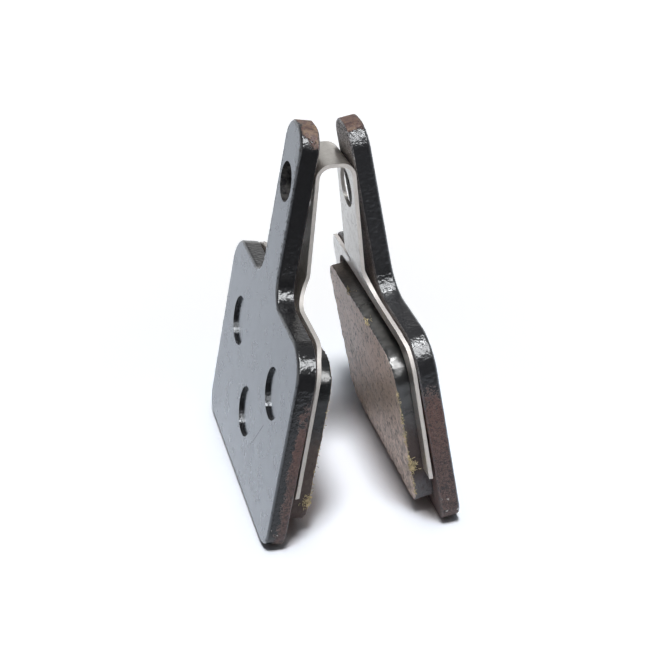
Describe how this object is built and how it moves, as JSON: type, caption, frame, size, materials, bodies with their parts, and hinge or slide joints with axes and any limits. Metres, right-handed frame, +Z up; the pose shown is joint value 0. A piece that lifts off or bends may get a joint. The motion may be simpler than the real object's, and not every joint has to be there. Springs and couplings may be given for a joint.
{
  "type": "bicycle disc brake pad set",
  "caption": "Disc brake pads with long-eared black steel plates and bonded linings, held apart at the foot by a folded stainless return spring with forked arms.",
  "frame": {"origin": "middle of the set, on the floor it stands on", "axes": "+X across the pair towards the right pad, +Y from front to back along the plates, +Z up towards the ears"},
  "size_m": [0.0214, 0.0304, 0.0406],
  "materials": {
    "plate_paint": "gloss black paint, worn to brown rust along the edges",
    "lining": "matt grey-brown moulded friction compound with brass fibres",
    "spring_steel": "satin stainless strip"
  },
  "bodies": {
    "root": {"left_plate": "plate_paint", "right_plate": "plate_paint", "left_lining": "lining", "right_lining": "lining", "return_spring": "spring_steel"}
  },
  "joints": []
}
